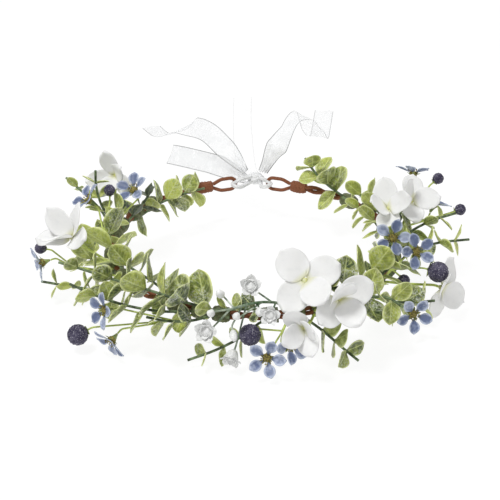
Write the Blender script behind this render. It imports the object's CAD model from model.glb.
import math
import random

import bmesh
import bpy
import numpy as np
from bpy.props import FloatProperty, FloatVectorProperty, IntProperty, PointerProperty
from mathutils import Matrix, Vector, noise
from mathutils.bvhtree import BVHTree


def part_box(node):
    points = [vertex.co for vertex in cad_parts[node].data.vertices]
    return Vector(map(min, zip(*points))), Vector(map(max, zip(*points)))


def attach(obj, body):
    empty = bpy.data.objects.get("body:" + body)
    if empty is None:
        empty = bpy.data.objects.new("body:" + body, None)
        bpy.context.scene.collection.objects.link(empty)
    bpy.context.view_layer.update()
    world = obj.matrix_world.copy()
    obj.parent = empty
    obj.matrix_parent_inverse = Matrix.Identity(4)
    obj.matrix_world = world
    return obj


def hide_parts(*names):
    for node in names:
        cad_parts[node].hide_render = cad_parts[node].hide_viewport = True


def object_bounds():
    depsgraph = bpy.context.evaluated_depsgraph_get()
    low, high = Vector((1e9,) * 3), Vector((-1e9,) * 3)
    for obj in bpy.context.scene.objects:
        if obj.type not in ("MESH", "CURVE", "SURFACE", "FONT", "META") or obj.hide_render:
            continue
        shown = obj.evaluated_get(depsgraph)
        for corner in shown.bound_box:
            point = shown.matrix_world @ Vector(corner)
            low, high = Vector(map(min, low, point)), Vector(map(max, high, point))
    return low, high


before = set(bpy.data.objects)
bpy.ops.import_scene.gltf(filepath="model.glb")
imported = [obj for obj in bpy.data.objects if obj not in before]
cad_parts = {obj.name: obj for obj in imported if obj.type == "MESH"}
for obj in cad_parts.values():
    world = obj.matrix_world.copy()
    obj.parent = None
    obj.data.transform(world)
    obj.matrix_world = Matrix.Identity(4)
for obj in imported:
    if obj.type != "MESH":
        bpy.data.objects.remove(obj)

bl_info = {
    "name": "Flower crown",
    "version": (1, 0, 0),
    "blender": (4, 5, 0),
    "location": "View3D > Sidebar > Crown",
    "description": "Dresses the flower crown's frame with leaves, flowers and ribbon",
    "category": "Object",
}

MM = 0.001
WELD = 1e-5
CAD_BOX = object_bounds()
BODY = "root"


# ---------------------------------------------------------------- settings
def length_setting(name, description, default):
    return FloatProperty(
        name=name, description=description, default=default, unit="LENGTH", precision=5
    )


def colour_setting(name, description, default):
    return FloatVectorProperty(
        name=name, description=description, default=default, subtype="COLOR", size=3,
        min=0.0, max=1.0,
    )


def share_setting(name, description, default):
    return FloatProperty(
        name=name, description=description, default=default, subtype="FACTOR", min=0.0, max=1.0
    )


class CrownBandSettings(bpy.types.PropertyGroup):
    twists: IntProperty(
        name="Twists", description="Turns of the two wires round each other", default=17
    )
    paper: colour_setting("Paper", "Brown of the wires' paper wrap", (0.235, 0.085, 0.04))
    tape: colour_setting("Tape", "Colour of the binding tape", (0.075, 0.085, 0.035))
    wrap_pitch: length_setting("Wrap pitch", "Width of one turn of the paper wrap", 0.0026)


class CrownLeafSettings(bpy.types.PropertyGroup):
    deep: colour_setting("Deep green", "Green in the middle of old leaves", (0.035, 0.058, 0.026))
    young: colour_setting("Young green", "Green in the middle of young leaves", (0.52, 0.58, 0.11))
    rim: colour_setting("Rim", "Bright edge of a leaf", (0.8, 0.86, 0.38))
    frost: colour_setting("Frost", "Flocked coating on the leaves", (0.82, 0.85, 0.78))
    frosting: share_setting("Frosting", "How much of a leaf the coating covers", 0.75)
    thickness: length_setting("Thickness", "Thickness of a leaf", 0.00035)
    stem: colour_setting("Stem", "Colour of the leaf stems", (0.055, 0.085, 0.03))
    pick: colour_setting("Pick stem", "Colour of the flower stems", (0.42, 0.5, 0.11))


class CrownFlowerSettings(bpy.types.PropertyGroup):
    white: colour_setting("White", "Satin of the white petals", (0.86, 0.86, 0.85))
    heart: colour_setting("Heart", "Yellow-green at the middle of a blossom", (0.62, 0.62, 0.16))
    blue: colour_setting("Blue", "Middle of a wax flower's petal", (0.13, 0.165, 0.28))
    blue_rim: colour_setting("Blue rim", "Pale rim of a wax flower's petal", (0.52, 0.57, 0.7))
    stamen: colour_setting("Stamen", "Middle of a wax flower", (0.07, 0.05, 0.012))
    berry: colour_setting("Berry", "Skin of the berries", (0.03, 0.024, 0.06))
    petal_thickness: length_setting("Petal thickness", "Thickness of a petal", 0.00035)


class CrownRibbonSettings(bpy.types.PropertyGroup):
    width: length_setting("Width", "Width of the ribbon", 0.015)
    veil: share_setting("Veil", "How opaque the sheer middle is", 0.3)
    selvage: share_setting("Selvage", "How opaque the woven edges are", 0.8)
    colour: colour_setting("Colour", "Colour of the organza", (0.88, 0.89, 0.9))


class CrownStageSettings(bpy.types.PropertyGroup):
    lens: FloatProperty(
        name="Lens", description="Focal length", default=0.1128, unit="CAMERA", precision=4
    )
    distance: length_setting("Distance", "From the camera to its aim", 1.0)
    elevation: FloatProperty(
        name="Elevation", description="Camera's height above the horizon",
        default=math.radians(28), subtype="ANGLE",
    )


SETTINGS = {
    "crown_band": CrownBandSettings,
    "crown_leaf": CrownLeafSettings,
    "crown_flower": CrownFlowerSettings,
    "crown_ribbon": CrownRibbonSettings,
    "crown_stage": CrownStageSettings,
}


# ---------------------------------------------------------------- nodes of a material
def add(tree, kind, feeds=None, **settings):
    """A shader node, its settings, and its inputs as values or as other nodes' outputs."""
    made = tree.nodes.new("ShaderNode" + kind)
    for key, value in settings.items():
        setattr(made, key, value)
    for socket, feed in (feeds or {}).items():
        if isinstance(feed, bpy.types.NodeSocket):
            tree.links.new(feed, made.inputs[socket])
        else:
            made.inputs[socket].default_value = feed
    return made


def calculate(tree, operation, first, second=0.0):
    return add(tree, "Math", {0: first, 1: second}, operation=operation).outputs[0]


def mix(tree, factor, first, second):
    """Colour first where the factor is 0 and second where it is 1."""
    made = add(tree, "Mix", {0: factor}, data_type="RGBA")
    for socket, feed in ((6, first), (7, second)):
        if isinstance(feed, bpy.types.NodeSocket):
            tree.links.new(feed, made.inputs[socket])
        else:
            made.inputs[socket].default_value = (*feed, 1.0)
    return made.outputs[2]


def ramp(tree, value, start, end, low=0.0, high=1.0):
    """low up to start, high from end on, and a smooth step between."""
    feeds = {"Value": value, "From Min": start, "From Max": end, "To Min": low, "To Max": high}
    return add(tree, "MapRange", feeds, interpolation_type="SMOOTHSTEP").outputs[0]


def grain(tree, scale, detail=3.0, roughness=0.6, stretch=None):
    """Noise in the piece's own space, with features about 1/scale metres across."""
    spot = add(tree, "TexCoord").outputs["Object"]
    if stretch:
        spot = add(tree, "Mapping", {"Vector": spot, "Scale": stretch}).outputs[0]
    feeds = {"Vector": spot, "Scale": scale, "Detail": detail, "Roughness": roughness}
    return add(tree, "TexNoise", feeds).outputs["Fac"]


def blade_spot(tree):
    """How far across (0 at the midrib, 1 at the rim) and along a leaf or petal, and its tone."""
    place = add(tree, "UVMap", uv_map="blade").outputs[0]
    split = add(tree, "SeparateXYZ", {0: place})
    doubled = calculate(tree, "MULTIPLY", split.outputs[0], 2.0)
    across = calculate(tree, "ABSOLUTE", calculate(tree, "SUBTRACT", doubled, 1.0))
    tone = add(tree, "Attribute", attribute_name="tone").outputs["Fac"]
    return across, split.outputs[1], tone


def bump(tree, shader, height, distance, strength=1.0):
    made = add(tree, "Bump", {"Height": height, "Distance": distance, "Strength": strength})
    tree.links.new(made.outputs[0], shader.inputs["Normal"])


def start_material(name, **values):
    material = bpy.data.materials.new(name)
    material.use_nodes = True
    tree = material.node_tree
    shader = tree.nodes["Principled BSDF"]
    for socket, value in values.items():
        shader.inputs[socket.replace("_", " ")].default_value = value
    return material, tree, shader


def base_colour(tree, shader, colour):
    tree.links.new(colour, shader.inputs["Base Color"])


def side_veins(tree, across, along, count, slope):
    """Bands that run from the midrib out towards the tip."""
    slant = calculate(tree, "SUBTRACT", along, calculate(tree, "MULTIPLY", across, slope))
    wave = calculate(tree, "SINE", calculate(tree, "MULTIPLY", slant, count * 2 * math.pi))
    return ramp(tree, wave, 0.55, 1.0)


def leaf_material(name, deep, young, rim, frost, frosting, specular=0.35):
    material, tree, shader = start_material(
        name, Roughness=0.55, Specular_IOR_Level=specular, Sheen_Weight=0.12,
        Sheen_Roughness=0.5, Subsurface_Weight=0.08, Subsurface_Radius=(0.0012, 0.002, 0.0006),
        Subsurface_Scale=1.0,
    )
    across, along, tone = blade_spot(tree)
    mottle = grain(tree, 260.0, 3.0)
    shade = calculate(tree, "ADD", tone, ramp(tree, mottle, 0.35, 0.7, -0.3, 0.3))
    ground = mix(tree, shade, deep, young)
    veins = side_veins(tree, across, along, 7, 0.32)
    ribbed = mix(tree, calculate(tree, "MULTIPLY", veins, 0.22), ground, rim)
    edge = calculate(tree, "MAXIMUM", ramp(tree, across, 0.72, 0.97), ramp(tree, along, 0.88, 1.0))
    worn = ramp(tree, grain(tree, 420.0, 2.0), 0.3, 0.55, 0.35, 0.95)
    edge = calculate(tree, "MULTIPLY", edge, worn)
    midrib = ramp(tree, across, 0.1, 0.0, 0.0, 0.6)
    edged = mix(tree, calculate(tree, "MAXIMUM", edge, midrib), ribbed, rim)
    dust = ramp(tree, grain(tree, 900.0, 4.0, 0.75), 0.46, 0.58)
    drift = ramp(tree, grain(tree, 130.0, 2.0), 0.4, 0.58, 0.05, 1.0)
    drift = calculate(tree, "MULTIPLY", drift, ramp(tree, tone, 0.75, 0.25, 0.35, 1.0))
    cover = calculate(tree, "MULTIPLY", calculate(tree, "MULTIPLY", dust, drift), frosting)
    base_colour(tree, shader, mix(tree, cover, edged, frost))
    relief = calculate(tree, "SUBTRACT", cover, calculate(tree, "MULTIPLY", veins, 0.6))
    bump(tree, shader, relief, 0.00025, 0.8)
    rough = ramp(tree, cover, 0.0, 0.5, 0.42, 0.85)
    tree.links.new(rough, shader.inputs["Roughness"])
    return material


def white_petal_material(flower):
    material, tree, shader = start_material(
        "white_satin", Roughness=0.5, Specular_IOR_Level=0.3, Sheen_Weight=0.25,
        Sheen_Roughness=0.35, Subsurface_Weight=0.25,
        Subsurface_Radius=(0.002, 0.002, 0.0018), Subsurface_Scale=1.0,
    )
    _, along, _ = blade_spot(tree)
    heart = calculate(tree, "MULTIPLY", ramp(tree, along, 0.2, 0.0), 0.5)
    streak = grain(tree, 300.0, 4.0, 0.6)
    shaded = mix(tree, ramp(tree, streak, 0.5, 0.8, 0.0, 0.12), flower.white, (0.62, 0.64, 0.62))
    crease = ramp(tree, grain(tree, 180.0, 3.0), 0.5, 0.75, 0.0, 0.22)
    shaded = mix(tree, crease, shaded, (0.66, 0.67, 0.68))
    base_colour(tree, shader, mix(tree, heart, shaded, flower.heart))
    weave = grain(tree, 2600.0, 2.0)
    height = calculate(tree, "ADD", calculate(tree, "MULTIPLY", weave, 0.25), streak)
    bump(tree, shader, height, 0.0002, 0.5)
    return material


def blue_petal_material(flower):
    material, tree, shader = start_material(
        "blue_wax", Roughness=0.42, Specular_IOR_Level=0.4, Subsurface_Weight=0.12,
        Subsurface_Radius=(0.001, 0.0012, 0.002), Subsurface_Scale=1.0,
    )
    across, along, tone = blade_spot(tree)
    rim = calculate(tree, "MAXIMUM", ramp(tree, across, 0.5, 1.0), ramp(tree, along, 0.72, 1.0))
    faded = calculate(tree, "ADD", rim, ramp(tree, tone, 0.2, 1.0, -0.15, 0.45))
    cloud = ramp(tree, grain(tree, 330.0, 3.0), 0.4, 0.65, -0.2, 0.3)
    colour = mix(tree, calculate(tree, "ADD", faded, cloud), flower.blue, flower.blue_rim)
    claw = ramp(tree, along, 0.28, 0.05)
    base_colour(tree, shader, mix(tree, claw, colour, (0.16, 0.2, 0.3)))
    bump(tree, shader, side_veins(tree, across, along, 8, 0.6), 0.00015, 0.4)
    return material


def mottled_material(name, dark, light, scale, rough, relief, **values):
    """A surface that wanders between two colours, with relief of the same grain."""
    material, tree, shader = start_material(name, Roughness=rough, **values)
    patches = grain(tree, scale, 5.0, 0.65)
    base_colour(tree, shader, mix(tree, ramp(tree, patches, 0.35, 0.68), dark, light))
    bump(tree, shader, grain(tree, scale * 4, 3.0), relief, 0.7)
    return material


def paper_material(band):
    """Twisted brown paper: fine creases run round the wire, paler where the wrap laps."""
    material, tree, shader = start_material("paper_wrap", Roughness=0.72, Specular_IOR_Level=0.25)
    worn = grain(tree, 700.0, 5.0, 0.7)
    pale = tuple(min(1.0, part * 2.1 + 0.03) for part in band.paper)
    dark = tuple(part * 0.45 for part in band.paper)
    colour = mix(tree, ramp(tree, worn, 0.3, 0.5), dark, band.paper)
    colour = mix(tree, ramp(tree, grain(tree, 1500.0, 3.0), 0.58, 0.72, 0.0, 0.7), colour, pale)
    base_colour(tree, shader, colour)
    bump(tree, shader, grain(tree, 1800.0, 4.0, 0.7), 0.0003, 0.9)
    return material


def berry_material(flower):
    material, tree, shader = start_material("berry_skin", Roughness=0.62, Specular_IOR_Level=0.4)
    pale = tuple(min(1.0, part * 2.2 + 0.12) for part in flower.berry)
    patch = ramp(tree, grain(tree, 260.0, 3.0), 0.4, 0.7, 0.0, 0.45)
    colour = mix(tree, patch, flower.berry, pale)
    sugar = ramp(tree, grain(tree, 1300.0, 4.0, 0.75), 0.56, 0.66, 0.0, 0.85)
    base_colour(tree, shader, mix(tree, sugar, colour, (0.66, 0.64, 0.7)))
    bump(tree, shader, grain(tree, 1900.0, 3.0, 0.7), 0.0004, 0.9)
    return material


SELVAGE_SHADE = 0.42


def organza_material(ribbon):
    """Sheer weave between two close-woven selvages."""
    material, tree, shader = start_material(
        "organza_sheer", Roughness=0.38, Specular_IOR_Level=0.45, Sheen_Weight=0.3,
        Sheen_Roughness=0.3,
    )
    place = add(tree, "UVMap", uv_map="blade").outputs[0]
    split = add(tree, "SeparateXYZ", {0: place})
    doubled = calculate(tree, "MULTIPLY", split.outputs[0], 2.0)
    across = calculate(tree, "ABSOLUTE", calculate(tree, "SUBTRACT", doubled, 1.0))
    edge = ramp(tree, across, 0.9, 0.94)
    threads = []
    for output, count in ((split.outputs[0], 60.0), (split.outputs[1], 60.0)):
        wave = calculate(tree, "SINE", calculate(tree, "MULTIPLY", output, count * 2 * math.pi))
        threads.append(ramp(tree, wave, -0.2, 0.9))
    weave = calculate(tree, "MAXIMUM", *threads)
    cloud = ramp(tree, grain(tree, 110.0, 3.0), 0.35, 0.65, -0.08, 0.1)
    veil = calculate(tree, "ADD", calculate(tree, "MULTIPLY", weave, 0.12), ribbon.veil)
    alpha = calculate(tree, "MAXIMUM", calculate(tree, "ADD", veil, cloud),
                      calculate(tree, "MULTIPLY", edge, ribbon.selvage))
    layers = add(tree, "Attribute", attribute_name="tone").outputs["Fac"]
    alpha = calculate(tree, "MULTIPLY", alpha, layers)
    tree.links.new(alpha, shader.inputs["Alpha"])
    selvage_colour = tuple(part * SELVAGE_SHADE for part in ribbon.colour)
    base_colour(tree, shader, mix(tree, edge, ribbon.colour, selvage_colour))
    bump(tree, shader, weave, 0.00008, 0.2)
    return material


# ---------------------------------------------------------------- reading the frame
def solids_of(node):
    """The corner points of each separate solid of a CAD node."""
    bm = bmesh.new()
    bm.from_mesh(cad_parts[node].data)
    bmesh.ops.remove_doubles(bm, verts=bm.verts, dist=WELD)
    seen, solids = set(), []
    for start in bm.verts:
        if start in seen:
            continue
        seen.add(start)
        reached = [start]
        for vert in reached:
            for edge in vert.link_edges:
                other = edge.other_vert(vert)
                if other not in seen:
                    seen.add(other)
                    reached.append(other)
        solids.append(np.array([vert.co[:] for vert in reached]))
    bm.free()
    return solids


def nodes_like(start):
    return sorted(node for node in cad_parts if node.startswith(start))


def turned(origin, x_axis, z_hint):
    """The matrix that puts a shape at the origin point, its x on x_axis and its z to the hint."""
    x = Vector(x_axis).normalized()
    z = (Vector(z_hint) - x * x.dot(Vector(z_hint))).normalized()
    y = z.cross(x)
    turn = Matrix((x, y, z)).transposed().to_4x4()
    return Matrix.Translation(Vector(origin)) @ turn


BASE_SLACK = 0.06 * MM
BASE_SPREAD = 1.2 * MM
TIP_SPREAD = 0.7 * MM


def blade_frame(corners):
    """A CAD leaf or petal's matrix, x to its tip and z to the side it cups, and its size."""
    apart = np.linalg.norm(corners[:, None] - corners[None], axis=2)
    ends = np.unravel_index(apart.argmax(), apart.shape)
    for tip in ends:
        base_corners = corners[apart[tip] > apart.max() - BASE_SLACK]
        if np.linalg.norm(np.ptp(base_corners, axis=0)) > BASE_SPREAD:
            break
    base = Vector(base_corners.mean(0))
    point = Vector(corners[apart[tip] < TIP_SPREAD].mean(0))
    axis = point - base
    lean = Vector(corners.mean(0)) - base
    place = turned(base, axis, lean)
    inside = np.array(place.inverted().to_3x3()) @ (corners - np.array(base)).T
    return place, axis.length, float(np.ptp(inside[1]))


def round_axis(corners):
    """The middle and the axis of a turned solid, such as a sleeve or a bell."""
    middle = corners.mean(0)
    values, vectors = np.linalg.eigh(np.cov((corners - middle).T))
    odd = 2 if values[2] - values[1] > values[1] - values[0] else 0
    return Vector(middle), Vector(vectors[:, odd])


def dome_frame(corners):
    """The middle of a half ball's flat face, its facing and its radius."""
    left = np.hstack([2 * corners, np.ones((len(corners), 1))])
    found = np.linalg.lstsq(left, (corners ** 2).sum(1), rcond=None)[0]
    middle = found[:3]
    radius = math.sqrt(found[3] + (middle ** 2).sum())
    return Vector(middle), Vector(corners.mean(0) - middle).normalized(), radius


def surface_of(*nodes):
    """A search tree over the faces of CAD nodes."""
    bm = bmesh.new()
    for node in nodes:
        bm.from_mesh(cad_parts[node].data)
    tree = BVHTree.FromBMesh(bm)
    bm.free()
    return tree


# ---------------------------------------------------------------- making pieces
def start_piece():
    bm = bmesh.new()
    bm.loops.layers.uv.new("blade")
    bm.verts.layers.float.new("tone")
    return bm


def finish_piece(name, bm, material, replaced=(), thickness=0.0, rounds=0, recalc=False):
    """The mesh as a smooth-shaded object on the crown's body, with live modifiers."""
    bmesh.ops.remove_doubles(bm, verts=bm.verts, dist=WELD * 0.5)
    if recalc:
        bmesh.ops.recalc_face_normals(bm, faces=bm.faces)
    for face in bm.faces:
        face.smooth = True
    mesh = bpy.data.meshes.new(name)
    bm.to_mesh(mesh)
    bm.free()
    piece = bpy.data.objects.new(name, mesh)
    bpy.context.scene.collection.objects.link(piece)
    mesh.materials.append(material)
    if rounds:
        smooth = piece.modifiers.new("Rounds", "SUBSURF")
        smooth.levels = smooth.render_levels = rounds
    if thickness:
        wall = piece.modifiers.new("Thickness", "SOLIDIFY")
        wall.thickness = thickness
        wall.offset = 0.0
    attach(piece, BODY)
    if replaced:
        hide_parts(*replaced)
    return piece


def add_blade(bm, place, shape, segments, tone):
    """A leaf or petal from a grid: shape gives each point for how far across and along."""
    uv = bm.loops.layers.uv["blade"]
    tones = bm.verts.layers.float["tone"]
    made = bmesh.ops.create_grid(bm, x_segments=segments[0], y_segments=segments[1], size=1.0)
    faces = {face for vert in made["verts"] for face in vert.link_faces}
    for face in faces:
        for loop in face.loops:
            loop[uv].uv = ((loop.vert.co.x + 1) / 2, (loop.vert.co.y + 1) / 2)
    for vert in made["verts"]:
        across, along = -vert.co.x, (vert.co.y + 1) / 2
        vert[tones] = tone
        vert.co = place @ Vector(shape(across, along))


def leaf_shape(length, width, chance, slim=False):
    """A cupped leaf on a short stalk that runs back into its stem."""
    curl = chance.uniform(-0.12, 0.1)
    twist = chance.uniform(-0.18, 0.18)
    cup = chance.uniform(0.16, 0.34)
    ruffle = chance.uniform(0.01, 0.035)
    phase = chance.uniform(0, 6.28)
    stalk = 0.5 * MM
    back = 0.9 * MM

    def shape(across, along):
        grown = max(0.0, (along - 0.06) / 0.94)
        if slim:
            swell = math.sin(math.pi * grown ** 0.75) ** 1.05 if grown < 1 else 0.0
        else:
            swell = max(0.0, math.sin(math.pi * grown ** 0.9)) ** 0.58
        half = max(width * 0.5 * swell, stalk * (1 - grown) ** 0.4)
        side = across * half
        lift = cup * abs(across) ** 1.7 * half
        lift += curl * length * grown ** 2
        lift += ruffle * length * math.sin(9 * grown + phase) * across * abs(across)
        lift -= 0.22 * MM * math.exp(-(across / 0.16) ** 2) * swell
        lift += twist * side * grown
        return along * (length + back) - back, side, lift

    return shape


def petal_shape(length, width, chance, kind):
    """A rounded petal: white ones are broad and ruffled, blue ones spoon-shaped."""
    curl = chance.uniform(-0.06, 0.1)
    cup = chance.uniform(0.1, 0.26) if kind == "white" else chance.uniform(0.25, 0.42)
    ruffle = chance.uniform(0.02, 0.045) if kind == "white" else 0.01
    phase = chance.uniform(0, 6.28)
    back = 1.1 * MM

    def shape(across, along):
        if kind == "white":
            swell = math.sin(math.pi * (0.04 + 0.86 * along ** 0.8)) ** 0.62
            swell *= (1 - along ** 12) ** 0.5
        else:
            opened = max(0.0, min(1.0, (along - 0.16) / 0.84))
            swell = 0.24 + 0.76 * math.sin(math.pi * opened ** 0.9) ** 0.55
            swell *= (1 - along ** 14) ** 0.5
        half = width * 0.5 * swell
        side = across * half
        lift = cup * across * across * half
        lift += curl * length * (along ** 2)
        wave = math.sin(7 * along + 2.2 * across + phase)
        lift += ruffle * length * wave * (0.3 + across * across)
        lift += 0.1 * length * along ** 3 * (0.5 - across * across)
        return along * (length + back) - back, side, lift

    return shape


def add_tube(bm, points, radii, sides):
    """A tube with closed ends that follows points, grown ring by ring by extrusion."""
    made = bmesh.ops.create_circle(bm, cap_ends=False, segments=sides, radius=1.0)
    ring = first = made["verts"]
    turns = [math.atan2(vert.co.y, vert.co.x) for vert in ring]
    edges = list({edge for vert in ring for edge in vert.link_edges})
    last = len(points) - 1
    normal = (points[1] - points[0]).orthogonal().normalized()
    for number, point in enumerate(points):
        run = (points[min(number + 1, last)] - points[max(number - 1, 0)]).normalized()
        normal = (normal - run * normal.dot(run)).normalized()
        other = run.cross(normal)
        radius = radii(number / last) if callable(radii) else radii
        if number:
            old = set(ring)
            grown = bmesh.ops.extrude_edge_only(bm, edges=edges)["geom"]
            edges = [item for item in grown if isinstance(item, bmesh.types.BMEdge)]
            fresh = {item for item in grown if isinstance(item, bmesh.types.BMVert)}
            edges = [edge for edge in edges if fresh.issuperset(edge.verts)]
            after = {
                edge.other_vert(vert): vert
                for vert in fresh for edge in vert.link_edges if edge.other_vert(vert) in old
            }
            ring = [after[vert] for vert in ring]
        for vert, turn in zip(ring, turns):
            reach = radius(turn) if callable(radius) else radius
            vert.co = point + (normal * math.cos(turn) + other * math.sin(turn)) * reach
    for end in (first, ring):
        bmesh.ops.contextual_create(bm, geom=end)


def add_ball(bm, centre, radius, subdivisions, reshape=None):
    made = bmesh.ops.create_icosphere(bm, subdivisions=subdivisions, radius=1.0)
    for vert in made["verts"]:
        out = vert.co.normalized()
        reach = radius * (reshape(out) if reshape else 1.0)
        vert.co = centre + out * reach


BAND_WIRE_RADIUS = 1.4 * MM
WIRE_PITCH_RADIUS = 1.45 * MM
RING_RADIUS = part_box("band_wire_upper")[1].x - BAND_WIRE_RADIUS


def ring_point(angle, out, up):
    """A point by its angle round the crown, in radians, and its place off the band, in metres."""
    reach = RING_RADIUS + out
    return Vector((reach * math.cos(angle), reach * math.sin(angle), up))


# ---------------------------------------------------------------- operators
AIM = (-1.9 * MM, -1.7 * MM, -3.2 * MM)
FLOOR_HALF = 4.0
AMBIENT = 0.38
# Each lamp's name, place, size and power
LAMPS = (
    ("key", (-0.5, -0.35, 1.3), 0.4, 13.0),
    ("fill", (0.9, -0.6, 0.8), 0.8, 2.0),
    ("rim", (0.2, 1.1, 0.9), 0.6, 3.0),
)


class CROWN_OT_stage(bpy.types.Operator):
    """Camera, pale floor and soft light"""

    bl_idname = "crown.stage"
    bl_label = "Stage"

    def execute(self, context):
        scene = context.scene
        stage = scene.crown_stage
        camera = bpy.data.objects.new("crown_camera", bpy.data.cameras.new("crown_camera"))
        scene.collection.objects.link(camera)
        camera.data.lens = stage.lens / MM
        back = Vector((0, -math.cos(stage.elevation), math.sin(stage.elevation)))
        camera.location = Vector(AIM) + back * stage.distance
        camera.rotation_euler = (-back).to_track_quat("-Z", "Y").to_euler()
        scene.camera = camera

        low, _ = CAD_BOX
        bm = bmesh.new()
        bmesh.ops.create_grid(bm, x_segments=1, y_segments=1, size=FLOOR_HALF)
        bmesh.ops.translate(bm, verts=bm.verts, vec=(0, 0, low.z))
        mesh = bpy.data.meshes.new("floor")
        bm.to_mesh(mesh)
        bm.free()
        floor = bpy.data.objects.new("floor", mesh)
        scene.collection.objects.link(floor)
        material, tree, shader = start_material(
            "pale_floor", Roughness=0.9, Specular_IOR_Level=0.1, Emission_Strength=0.9
        )
        faint = grain(tree, 3.0, 2.0)
        base_colour(tree, shader, mix(tree, faint, (0.12, 0.12, 0.12), (0.15, 0.15, 0.15)))
        shader.inputs["Emission Color"].default_value = (1.0, 1.0, 1.0, 1.0)
        mesh.materials.append(material)

        scene.view_settings.view_transform = "Standard"
        world = bpy.data.worlds.new("studio")
        world.use_nodes = True
        world.node_tree.nodes["Background"].inputs["Color"].default_value = (1.0, 1.0, 1.0, 1.0)
        world.node_tree.nodes["Background"].inputs["Strength"].default_value = AMBIENT
        scene.world = world
        for name, place, size, power in LAMPS:
            lamp = bpy.data.lights.new(name, "AREA")
            lamp.size = size
            lamp.energy = power
            light = bpy.data.objects.new(name, lamp)
            light.location = place
            light.rotation_euler = (-Vector(place)).to_track_quat("-Z", "Y").to_euler()
            scene.collection.objects.link(light)
        return {"FINISHED"}


BAND_START = math.radians(108)
BAND_END = math.radians(360 + 73)
STEPS_PER_TWIST = 22


class CROWN_OT_band(bpy.types.Operator):
    """Two paper-wrapped wires twisted round each other, and the eyelets' finish"""

    bl_idname = "crown.band"
    bl_label = "Band"

    def execute(self, context):
        band = context.scene.crown_band
        paper = paper_material(band)
        steps = band.twists * STEPS_PER_TWIST
        for number, node in enumerate(("band_wire_upper", "band_wire_lower")):
            bm = start_piece()
            points = []
            for step in range(steps + 1):
                share = step / steps
                angle = BAND_START + (BAND_END - BAND_START) * share
                phase = 2 * math.pi * band.twists * share + math.pi * (0.5 + number)
                points.append(ring_point(
                    angle, WIRE_PITCH_RADIUS * math.cos(phase), WIRE_PITCH_RADIUS * math.sin(phase)
                ))
            length = sum((b - a).length for a, b in zip(points, points[1:]))
            turns = length / band.wrap_pitch

            def radii(share, turns=turns):
                def around(turn):
                    lap = (share * turns - turn / (2 * math.pi)) % 1.0
                    crease = noise.noise(Vector((share * turns * 2.3, turn * 1.1, number)))
                    return BAND_WIRE_RADIUS * (0.93 + 0.07 * lap + 0.05 * crease)
                return around

            add_tube(bm, points, radii, 12)
            name = "paper_wire_" + node.split("_")[-1]
            finish_piece(name, bm, paper, [node], recalc=True)
        for node in ("eyelet_left", "eyelet_right"):
            dress(node, paper)
        return {"FINISHED"}


def dress(node, material):
    """Keeps a CAD node's shape and gives it its material."""
    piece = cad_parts[node]
    for slot in piece.material_slots:
        slot.material = material
    if not piece.material_slots:
        piece.data.materials.append(material)


TIE_REACH = 5.4 * MM
TIE_STEPS = 22
# In millimetres: a tie's radius at its ends, and how much it swells in its middle
TIE_WAIST = 2.9
STEM_TIE_SWELL = 1.75
END_TIE_SWELL = 0.9


class CROWN_OT_ties(bpy.types.Operator):
    """Turns of tape that bind the stems to the band, and of paper that bind its two ends"""

    bl_idname = "crown.ties"
    bl_label = "Tape ties"

    def execute(self, context):
        band = context.scene.crown_band
        light = tuple(min(1.0, part * 2.4 + 0.02) for part in band.tape)
        tape = mottled_material("tape", band.tape, light, 500.0, 0.7, 0.0003)
        paper = paper_material(band)
        for node, name, material, swell in (
            ("stem_ties", "tape_ties", tape, STEM_TIE_SWELL),
            ("band_end_sleeves", "tape_ends", paper, END_TIE_SWELL),
        ):
            bm = start_piece()
            for number, corners in enumerate(solids_of(node)):
                middle, axis = round_axis(corners)
                chance = random.Random(number)
                points = [
                    middle + axis * TIE_REACH * (2 * step / TIE_STEPS - 1)
                    for step in range(TIE_STEPS + 1)
                ]
                lean = chance.uniform(0, 6.28)

                def radii(share, lean=lean, swell=swell):
                    pinch = math.sin(math.pi * min(1, max(0, share))) ** 0.35

                    def around(turn):
                        lap = (share * 5.0 - (turn + lean) / (2 * math.pi)) % 1.0
                        lump = 0.35 * noise.noise(Vector((share * 3, math.cos(turn) * 1.5, lean)))
                        return (TIE_WAIST + swell * pinch + 0.4 * lap + lump) * MM

                    return around

                add_tube(bm, points, radii, 20)
            finish_piece(name, bm, material, [node], recalc=True)
        return {"FINISHED"}


class CROWN_OT_stems(bpy.types.Operator):
    """Finishes of the leaf stems, flower picks and the white spray's stems"""

    bl_idname = "crown.stems"
    bl_label = "Stems"

    def execute(self, context):
        leaf = context.scene.crown_leaf
        dark = tuple(part * 0.6 for part in leaf.stem)
        light = tuple(min(1.0, part * 2.6 + 0.04) for part in leaf.stem)
        leaf_stem = mottled_material("leaf_stem_skin", dark, light, 320.0, 0.55, 0.0002)
        fresh = tuple(min(1.0, part * 1.5 + 0.05) for part in leaf.pick)
        pick_stem = mottled_material("pick_stem_skin", leaf.pick, fresh, 240.0, 0.45, 0.0001)
        spray_stem = mottled_material(
            "spray_stem_skin", (0.05, 0.11, 0.04), (0.6, 0.66, 0.55), 90.0, 0.4, 0.0001
        )
        for start, material in (("stems_", leaf_stem), ("pick_stems", pick_stem),
                                ("blossom_stems", pick_stem), ("spray_stems", spray_stem)):
            for node in nodes_like(start):
                dress(node, material)
        return {"FINISHED"}


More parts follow.
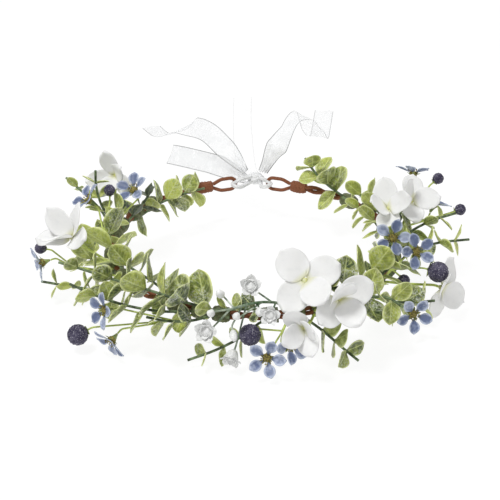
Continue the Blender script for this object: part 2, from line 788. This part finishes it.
class CROWN_OT_leaves(bpy.types.Operator):
    """Cupped, frosted leaves on every sprig"""

    bl_idname = "crown.leaves"
    bl_label = "Leaves"

    def execute(self, context):
        leaf = context.scene.crown_leaf
        frosted = leaf_material(
            "eucalyptus_leaf", leaf.deep, leaf.young, leaf.rim, leaf.frost, leaf.frosting
        )
        dark = leaf_material(
            "pointed_leaf", tuple(c * 0.55 for c in leaf.deep), leaf.deep,
            tuple(c * 0.35 for c in leaf.rim), leaf.frost, 0.25, 0.5,
        )
        for node in nodes_like("leaves_"):
            pointed = "pointed" in node
            chance = random.Random(node)
            bm = start_piece()
            solids = solids_of(node)
            base_tone = chance.uniform(0.2, 0.75)
            for corners in solids:
                place, length, width = blade_frame(corners)
                youth = (17 * MM - length) / (14 * MM)
                tone = min(1.0, max(0.0, base_tone + youth * 0.7 + chance.uniform(-0.36, 0.36)))
                shape = leaf_shape(length, width * 1.04, chance, pointed)
                add_blade(bm, place, shape, (6, 10), tone)
            finish_piece(
                node.replace("leaves", "foliage"), bm, dark if pointed else frosted, [node],
                leaf.thickness, 1,
            )
        return {"FINISHED"}


class CROWN_OT_blossoms(bpy.types.Operator):
    """White hydrangea blossoms and their yellow-green hearts"""

    bl_idname = "crown.blossoms"
    bl_label = "White blossoms"

    def execute(self, context):
        flower = context.scene.crown_flower
        satin = white_petal_material(flower)
        for node in nodes_like("petals_"):
            chance = random.Random(node)
            bm = start_piece()
            for corners in solids_of(node):
                place, length, width = blade_frame(corners)
                shape = petal_shape(length, width * 1.08, chance, "white")
                add_blade(bm, place, shape, (8, 10), chance.random())
            finish_piece(
                node.replace("petals", "blossom"), bm, satin, [node],
                flower.petal_thickness, 1,
            )
        heart = mottled_material(
            "blossom_heart", flower.heart, (0.8, 0.82, 0.55), 800.0, 0.5, 0.0003
        )
        bm = start_piece()
        for corners in solids_of("blossom_centres"):
            low, high = Vector(corners.min(0)), Vector(corners.max(0))
            radius = (high.x - low.x) / 2
            add_ball(bm, (low + high) / 2, radius, 3,
                     lambda out: 0.95 + 0.16 * noise.noise(out * 3.1))
        finish_piece("blossom_hearts", bm, heart, ["blossom_centres"])
        return {"FINISHED"}


STAMEN_COUNT = 13
# Half widths of a calyx from the flower back to its stem, in millimetres
CALYX_WIDTHS = (2.25, 1.9, 1.15, 0.6)


class CROWN_OT_wax_flowers(bpy.types.Operator):
    """Blue wax flowers: spoon petals, stamens round a sunk middle, and calyxes"""

    bl_idname = "crown.wax_flowers"
    bl_label = "Blue wax flowers"

    def execute(self, context):
        flower = context.scene.crown_flower
        wax = blue_petal_material(flower)
        for node in nodes_like("wax_flower_petals"):
            chance = random.Random(node)
            bm = start_piece()
            for corners in solids_of(node):
                place, length, width = blade_frame(corners)
                shape = petal_shape(length, width * 1.08, chance, "blue")
                add_blade(bm, place, shape, (6, 8), chance.random())
            finish_piece(
                node.replace("wax_flower_petals", "wax_petals"), bm, wax, [node],
                flower.petal_thickness, 1,
            )
        bright = (0.42, 0.36, 0.07)
        heart = mottled_material("stamen_dust", flower.stamen, bright, 1200.0, 0.6, 0.0004)
        green = mottled_material(
            "calyx_skin", (0.12, 0.17, 0.05), (0.4, 0.47, 0.16), 500.0, 0.5, 0.0002
        )
        stamens, calyxes = start_piece(), start_piece()
        for number, corners in enumerate(solids_of("wax_flower_stamens")):
            centre, facing, radius = dome_frame(corners)
            chance = random.Random(number)
            side = facing.orthogonal().normalized()
            other = facing.cross(side)

            def sunk(out, facing=facing):
                dip = 0.4 * max(0.0, out.dot(facing)) ** 2
                return 0.86 - dip + 0.12 * noise.noise(out * 5)

            add_ball(stamens, centre, radius * 0.95, 3, sunk)
            for grown in range(STAMEN_COUNT):
                turn = 2 * math.pi * (grown + chance.uniform(-0.2, 0.2)) / STAMEN_COUNT
                way = side * math.cos(turn) + other * math.sin(turn)
                foot = centre + way * radius * 0.8
                spread, rise = chance.uniform(0.85, 1.1), chance.uniform(0.5, 0.85)
                tip = centre + way * radius * spread + facing * radius * rise
                add_tube(stamens, [foot, foot.lerp(tip, 0.6) - way * 0.1 * MM, tip], 0.16 * MM, 5)
                add_ball(stamens, tip, 0.5 * MM, 1)
            back = [centre - facing * 0.3 * MM, centre - facing * 1.6 * MM,
                    centre - facing * 3.4 * MM, centre - facing * 5.3 * MM]

            def radii(share):
                spot = share * (len(CALYX_WIDTHS) - 1)
                low = min(int(spot), len(CALYX_WIDTHS) - 2)
                near, far = CALYX_WIDTHS[low:low + 2]
                width = near + (far - near) * (spot - low)
                return lambda turn: width * (1 + 0.12 * math.cos(5 * turn)) * MM

            add_tube(calyxes, back, radii, 20)
            for lobe in range(5):
                turn = 2 * math.pi * lobe / 5
                way = side * math.cos(turn) + other * math.sin(turn)
                foot = centre - facing * 0.8 * MM + way * 1.6 * MM
                place = turned(foot, way + facing * 0.35, facing)
                add_blade(calyxes, place, leaf_shape(3.4 * MM, 1.8 * MM, chance), (2, 4), 0.5)
        finish_piece("wax_hearts", stamens, heart, ["wax_flower_stamens"])
        finish_piece("wax_calyxes", calyxes, green, ["wax_flower_calyxes"], recalc=True)
        return {"FINISHED"}


class CROWN_OT_berries(bpy.types.Operator):
    """Rough purple berries, with small sepals where they sit on their stems"""

    bl_idname = "crown.berries"
    bl_label = "Berries"

    def execute(self, context):
        flower = context.scene.crown_flower
        skin = berry_material(flower)
        green = mottled_material(
            "sepal_skin", (0.2, 0.27, 0.07), (0.45, 0.52, 0.18), 500.0, 0.5, 0.0002
        )
        twigs = surface_of(*nodes_like("pick_stems"))
        bm, sepals = start_piece(), start_piece()
        for number, corners in enumerate(solids_of("berries")):
            low, high = Vector(corners.min(0)), Vector(corners.max(0))
            centre, radius = (low + high) / 2, (high.x - low.x) / 2

            def skin_reach(out, centre=centre, radius=radius):
                near = noise.voronoi((centre + out * radius) * 760.0)[0][0]
                return 1.03 - 0.13 * near

            add_ball(bm, centre, radius, 5 if radius > 5 * MM else 4, skin_reach)
            stalk = (twigs.find_nearest(centre)[0] - centre).normalized()
            side = stalk.orthogonal().normalized()
            other = stalk.cross(side)
            chance = random.Random(number)
            for lobe in range(5):
                turn = 2 * math.pi * lobe / 5
                way = side * math.cos(turn) + other * math.sin(turn)
                place = turned(centre + stalk * radius * 1.04, way - stalk * 0.25, stalk * -1)
                shape = leaf_shape(radius * 0.75, radius * 0.34, chance)
                add_blade(sepals, place, shape, (2, 5), 0.5)
        finish_piece("berry_skins", bm, skin, ["berries"])
        finish_piece("berry_sepals", sepals, green, thickness=0.0003)
        return {"FINISHED"}


# Spray heads slimmer than this are closed buds
BUD_HALF = 3 * MM
# Each ring of a bloom's petals: how many, degrees they rise, and their size as a share
BLOOM_WHORLS = ((5, 38, 0.92), (5, 68, 0.66))


class CROWN_OT_spray(bpy.types.Operator):
    """White blooms and buds of the moulded spray"""

    bl_idname = "crown.spray"
    bl_label = "White spray"

    def execute(self, context):
        white = mottled_material(
            "spray_white", (0.78, 0.79, 0.78), (0.9, 0.9, 0.89), 420.0, 0.35, 0.0002,
            Subsurface_Weight=0.2, Subsurface_Radius=(0.002, 0.002, 0.002), Subsurface_Scale=1.0,
        )
        twigs = surface_of("spray_stems")
        bm = start_piece()
        for number, corners in enumerate(solids_of("spray_bells")):
            middle, axis = round_axis(corners)
            reach = (corners - np.array(middle)) @ np.array(axis)
            ends = [middle + axis * reach.min(), middle + axis * reach.max()]
            ends.sort(key=lambda end: twigs.find_nearest(end)[3])
            foot, mouth = ends
            out = (mouth - foot).normalized()
            length = (mouth - foot).length
            off = corners - np.array(foot)
            off -= np.outer(off @ np.array(out), np.array(out))
            half = float(np.linalg.norm(off, axis=1).max())
            chance = random.Random(number)
            if half < BUD_HALF:
                points = [foot + out * length * step / 8 for step in range(9)]
                add_tube(bm, points, lambda share: lambda turn: half * (
                    0.25 + 0.75 * math.sin(math.pi * (0.08 + 0.87 * share)) ** 0.7
                    * (1 + 0.1 * math.cos(3 * turn + 5 * share))), 15)
                continue
            side = out.orthogonal().normalized()
            other = out.cross(side)
            cup = [foot + out * length * 0.62 * step / 6 for step in range(7)]
            add_tube(bm, cup, lambda share: lambda turn: half * (
                0.28 + 0.42 * share ** 0.7) * (1 + 0.05 * math.cos(5 * turn)), 20)
            for whorl, (count, spread, size) in enumerate(BLOOM_WHORLS):
                for grown in range(count):
                    turn = 2 * math.pi * (grown + 0.5 * whorl) / count
                    way = side * math.cos(turn) + other * math.sin(turn)
                    lean = math.radians(spread)
                    axis_out = way * math.cos(lean) + out * math.sin(lean)
                    up = out * math.cos(lean) - way * math.sin(lean)
                    place = turned(foot + out * length * 0.42 + way * half * 0.3, axis_out, up)
                    shape = petal_shape(half * size, half * size * 0.95, chance, "white")
                    add_blade(bm, place, shape, (6, 6), 0.5)
        finish_piece("spray_blooms", bm, white, ["spray_bells"], recalc=True)
        return {"FINISHED"}


# Stations, full width and floor in millimetres
UPRIGHT = (0, 0, 1)
LEVEL = (1, 0, 0)
FULL = 15
FLOOR = -29.6
FADE_LENGTH = 70 * MM
ROWS_PER_STATION = 14
COLUMNS = 14
RIBBON_WALL = 0.12 * MM
# Each tail: its node, how it is held, how much of its veil is left at the far end, and its
# stations: middle of the ribbon, the way it lies across, its width
TAILS = {
    "ribbon_left_long": ("ribbon_left", "hung", 0.6, [
        ((-5, 98, 5), UPRIGHT, 6), ((-11, 103, 11), (0.7, 0.2, 0.6), 10),
        ((-20, 113, 17), (0.8, 0.3, 0.5), FULL), ((-31, 133, 19), (0.6, 0.4, 0.7), FULL),
        ((-41, 156, 13), (0.5, 0.3, 0.8), FULL), ((-52, 182, 1), (0.8, 0.3, 0.4), FULL),
        ((-62, 207, -14), (0.9, 0.3, 0.1), FULL), ((-71, 231, -26), (0.9, 0.3, 0.0), FULL),
        ((-80, 255, FLOOR), (0.9, 0.3, 0.0), FULL)]),
    "ribbon_left_short": ("ribbon_left", "hung", 0.75, [
        ((-5, 99, -1), UPRIGHT, 6), ((-13, 107, 0), (0.3, 0.3, 0.9), 11),
        ((-25, 128, -4), (0.4, 0.4, 0.8), FULL), ((-42, 156, -12), (0.4, 0.5, 0.8), FULL),
        ((-61, 186, -22), (0.4, 0.5, 0.8), FULL)]),
    "ribbon_right_tail": ("ribbon_right", "hung", 0.45, [
        ((7, 96, 6), (1, 0, 0.2), 6), ((11, 91, 16), (1, 0.2, 0.2), 10),
        ((17, 88, 30), (0.9, -0.2, 0.3), FULL), ((25, 97, 41), (0.9, -0.3, 0.3), FULL),
        ((34, 118, 38), (0.9, -0.3, -0.3), FULL), ((40, 146, 22), (0.9, -0.2, -0.2), FULL),
        ((45, 178, 0), LEVEL, FULL), ((50, 212, -19), LEVEL, FULL),
        ((54, 248, -28), LEVEL, FULL), ((58, 286, FLOOR), LEVEL, FULL)]),
    "ribbon_back_tail": ("ribbon_right", "laid", 0.15, [
        ((2, 102, -1), LEVEL, 6), ((0, 112, -5), LEVEL, 10), ((-2, 132, -14), LEVEL, FULL),
        ((-4, 162, -24), LEVEL, FULL), ((-6, 200, FLOOR), LEVEL, FULL),
        ((-8, 255, FLOOR), LEVEL, FULL), ((-8, 315, FLOOR), LEVEL, FULL)]),
}


def eased(values, spot):
    """A value on the smooth curve through a list of vectors."""
    last = len(values) - 1
    at = min(int(spot), last - 1)
    part = spot - at
    before, here = values[max(at - 1, 0)], values[at]
    after, beyond = values[at + 1], values[min(at + 2, last)]
    return 0.5 * (
        2 * here + (after - before) * part
        + (2 * before - 5 * here + 4 * after - beyond) * part ** 2
        + (3 * here - before - 3 * after + beyond) * part ** 3
    )


class CROWN_OT_ribbon(bpy.types.Operator):
    """Sheer ribbon: four tails, the knot and the loops round the eyelets"""

    bl_idname = "crown.ribbon"
    bl_label = "Ribbon"

    def execute(self, context):
        ribbon = context.scene.crown_ribbon
        organza = organza_material(ribbon)
        gathered = mottled_material(
            "organza_gathered", tuple(c * 0.9 for c in ribbon.colour), (0.88, 0.88, 0.89),
            900.0, 0.45, 0.0003, Sheen_Weight=0.3,
        )
        self.knot(gathered)
        for name, (node, held, farness, stations) in TAILS.items():
            self.tail(name, node, held, farness, stations, organza, ribbon)
        return {"FINISHED"}

    def knot(self, material):
        low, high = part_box("ribbon_knot")
        centre, half = (low + high) / 2, (high - low) / 2
        bm = start_piece()

        def lump(out):
            fold = math.sin(9 * math.atan2(out.z, out.y) + 4 * out.x)
            return 1.0 + 0.07 * fold + 0.12 * noise.noise(out * 2.3)

        made = bmesh.ops.create_icosphere(bm, subdivisions=4, radius=1.0)
        for vert in made["verts"]:
            out = vert.co.normalized() * lump(vert.co.normalized())
            vert.co = centre + Vector((out.x * half.x, out.y * half.y, out.z * half.z))
        for node, way in (("eyelet_left", -1), ("eyelet_right", 1)):
            low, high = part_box(node)
            inner = low.x if way > 0 else high.x
            hook = Vector((inner, (low.y + high.y) / 2, centre.z))
            around = [
                centre + Vector((way * 3 * MM, -1 * MM, 2 * MM)),
                hook + Vector((way * -3 * MM, 3.2 * MM, 2.4 * MM)),
                hook + Vector((way * 0.6 * MM, 2.2 * MM, 1.0 * MM)),
                hook + Vector((way * 3.2 * MM, -0.4 * MM, 0)),
                hook + Vector((way * 0.6 * MM, -2.6 * MM, -1.0 * MM)),
                hook + Vector((way * -3 * MM, -0.6 * MM, -1.8 * MM)),
                centre + Vector((way * 3 * MM, -1 * MM, -2 * MM)),
            ]
            points = [eased(around, 6 * step / 36) for step in range(37)]
            add_tube(bm, points, lambda share: lambda turn: 1.25 * MM * (
                1 + 0.22 * math.cos(5 * turn + 9 * share)
                + 0.2 * noise.noise(Vector((share * 9, turn, 0)))), 16)
        finish_piece("ribbon_knot_folds", bm, material, ["ribbon_knot"], recalc=True)

    def tail(self, name, node, held, farness, stations, material, ribbon):
        middles = [Vector(point) * MM for point, _, _ in stations]
        leans = [Vector(lean) for _, lean, _ in stations]
        widths = [Vector((width * MM, 0, 0)) for _, _, width in stations]
        last = len(stations) - 1
        chance = random.Random(name)
        phase = chance.uniform(0, 6.28)
        rows = last * ROWS_PER_STATION
        length = 0.0
        before = None
        lengths = []
        for row in range(rows + 1):
            here = eased(middles, last * row / rows)
            length += (here - before).length if before else 0.0
            lengths.append(length)
            before = here
        bm = start_piece()
        uv = bm.loops.layers.uv["blade"]
        made = bmesh.ops.create_grid(bm, x_segments=COLUMNS, y_segments=rows, size=1.0)
        spots = {}
        tones = bm.verts.layers.float["tone"]
        for vert in made["verts"]:
            across, row = vert.co.x, round((vert.co.y + 1) / 2 * rows)
            spot = last * row / rows
            point = eased(middles, spot)
            ahead = eased(middles, min(spot + 0.05, last)) - eased(middles, max(spot - 0.05, 0))
            run = ahead.normalized()
            lean = eased(leans, spot)
            side = (lean - run * lean.dot(run)).normalized()
            face = side.cross(run)
            width = min(eased(widths, spot).x, ribbon.width)
            gather = 1 - width / ribbon.width
            pleat = math.sin(across * 11 + phase) * gather * 2.2 * MM
            wave = math.sin(lengths[row] * 70 + across * 0.8 + phase)
            sway = wave * 0.9 * MM * min(1, lengths[row] * 30)
            sag = noise.noise(Vector((across * 0.8, lengths[row] * 30, phase))) * 1.4 * MM
            offset = pleat + (sway + sag) * (1 - gather)
            place = point + side * across * width / 2 + face * offset
            place.z = max(place.z, FLOOR * MM)
            spots[vert] = (across, lengths[row])
            vert[tones] = 1.0 - (1.0 - farness) * min(1.0, lengths[row] / FADE_LENGTH)
            vert.co = place
        for face in bm.faces:
            for loop in face.loops:
                across, along = spots[loop.vert]
                loop[uv].uv = ((across + 1) / 2, along / ribbon.width)
        piece = finish_piece(name, bm, material, [node], thickness=RIBBON_WALL)


OPERATORS = (
    CROWN_OT_stage, CROWN_OT_band, CROWN_OT_ties, CROWN_OT_stems, CROWN_OT_leaves,
    CROWN_OT_blossoms, CROWN_OT_wax_flowers, CROWN_OT_berries, CROWN_OT_spray, CROWN_OT_ribbon,
)


class CROWN_PT_panel(bpy.types.Panel):
    """Lists the crown's pieces and their settings"""

    bl_idname = "CROWN_PT_panel"
    bl_label = "Flower crown"
    bl_space_type = "VIEW_3D"
    bl_region_type = "UI"
    bl_category = "Crown"

    def draw(self, context):
        for operator in OPERATORS:
            self.layout.operator(operator.bl_idname)
        for name in SETTINGS:
            settings = getattr(context.scene, name)
            box = self.layout.box()
            for key in settings.__annotations__:
                box.prop(settings, key)


def register():
    for name, settings in SETTINGS.items():
        bpy.utils.register_class(settings)
        setattr(bpy.types.Scene, name, PointerProperty(type=settings))
    for operator in OPERATORS:
        bpy.utils.register_class(operator)
    bpy.utils.register_class(CROWN_PT_panel)


def unregister():
    bpy.utils.unregister_class(CROWN_PT_panel)
    for operator in reversed(OPERATORS):
        bpy.utils.unregister_class(operator)
    for name, settings in SETTINGS.items():
        delattr(bpy.types.Scene, name)
        bpy.utils.unregister_class(settings)


def main():
    register()
    for operator in OPERATORS:
        group, name = operator.bl_idname.split(".")
        getattr(getattr(bpy.ops, group), name)()


if __name__ == "__main__":
    main()
